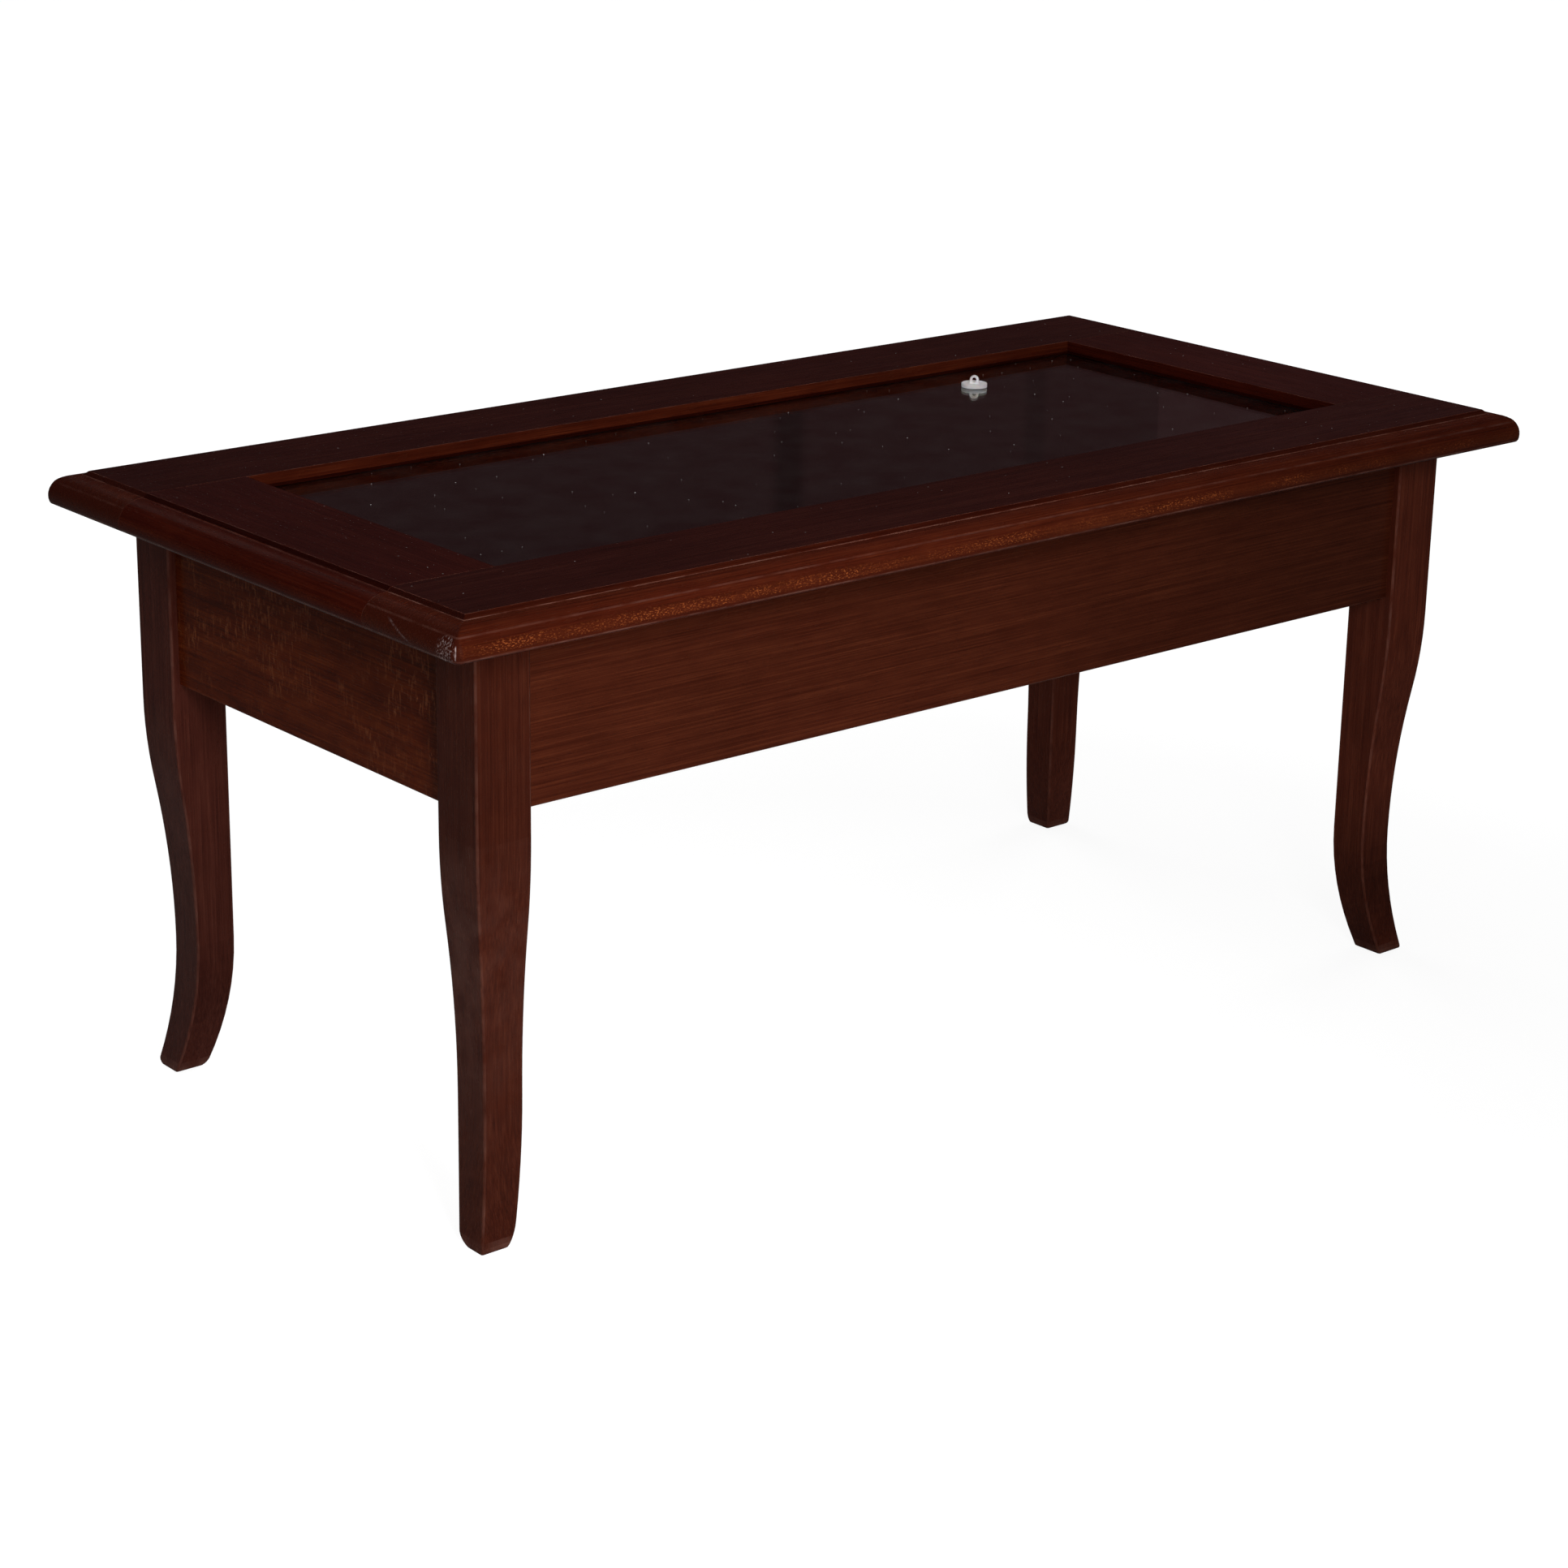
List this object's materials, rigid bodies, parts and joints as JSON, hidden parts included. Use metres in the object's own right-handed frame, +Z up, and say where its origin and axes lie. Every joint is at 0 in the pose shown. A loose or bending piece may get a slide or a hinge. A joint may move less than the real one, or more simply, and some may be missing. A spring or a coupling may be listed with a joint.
{
  "type": "collectors display table",
  "caption": "Low wooden table with a moulded frame top, a lift-out glass panel over a shallow cloth-lined display compartment, and curved tapering legs.",
  "frame": {"origin": "on the floor, under the middle of the table", "axes": "+X along the table, -Y towards its front, +Z up"},
  "size_m": [1, 0.5, 0.445],
  "materials": {
    "rail_wood": "solid hardwood, dark mahogany stain under satin lacquer",
    "leg_wood": "solid hardwood, dark mahogany stain under satin lacquer",
    "apron_wood": "veneered board, grain along its length, dark mahogany stain under satin lacquer",
    "batten_wood": "planed softwood, unfinished",
    "base_panel": "thin plywood, unfinished",
    "lined_board": "thin board covered in dark cloth",
    "lining_cloth": "dark woven cloth, laid flat",
    "clear_glass": "clear float glass with ground edges",
    "sucker_rubber": "soft translucent cup",
    "lifter_plastic": "white moulded plastic, slightly glossy",
    "screw_steel": "zinc-plated steel"
  },
  "bodies": {
    "table": {"top_rail_front": "rail_wood", "top_rail_right": "rail_wood", "top_rail_back": "rail_wood", "top_rail_left": "rail_wood", "apron_front": "apron_wood", "apron_right": "apron_wood", "apron_back": "apron_wood", "apron_left": "apron_wood", "leg_front_left": "leg_wood", "leg_front_right": "leg_wood", "leg_back_right": "leg_wood", "leg_back_left": "leg_wood", "top_batten_front": "batten_wood", "top_batten_right": "batten_wood", "top_batten_back": "batten_wood", "top_batten_left": "batten_wood", "base_batten_front": "batten_wood", "base_batten_right": "batten_wood", "base_batten_back": "batten_wood", "base_batten_left": "batten_wood", "base_board": "base_panel", "lining_board_front": "lined_board", "lining_board_right": "lined_board", "lining_board_back": "lined_board", "lining_board_left": "lined_board", "cloth_floor": "lining_cloth", "upper_screw_front_a": "screw_steel", "upper_screw_front_b": "screw_steel", "upper_screw_right_a": "screw_steel", "upper_screw_right_b": "screw_steel", "upper_screw_back_a": "screw_steel", "upper_screw_back_b": "screw_steel", "upper_screw_left_a": "screw_steel", "upper_screw_left_b": "screw_steel", "lower_screw_front_a": "screw_steel", "lower_screw_front_b": "screw_steel", "lower_screw_right_a": "screw_steel", "lower_screw_right_b": "screw_steel", "lower_screw_back_a": "screw_steel", "lower_screw_back_b": "screw_steel", "lower_screw_left_a": "screw_steel", "lower_screw_left_b": "screw_steel", "rail_screw_front_a": "screw_steel", "rail_screw_front_b": "screw_steel", "rail_screw_right_a": "screw_steel", "rail_screw_right_b": "screw_steel", "rail_screw_back_a": "screw_steel", "rail_screw_back_b": "screw_steel", "rail_screw_left_a": "screw_steel", "rail_screw_left_b": "screw_steel"},
    "glass_cover": {"glass_panel": "clear_glass", "lifter_sucker": "sucker_rubber", "lifter_cap": "lifter_plastic"}
  },
  "joints": [
    {"name": "glass_lift", "type": "slide", "parent": "table", "child": "glass_cover", "axis": [0, 0, 1], "range_m": [0, 0.2]}
  ]
}
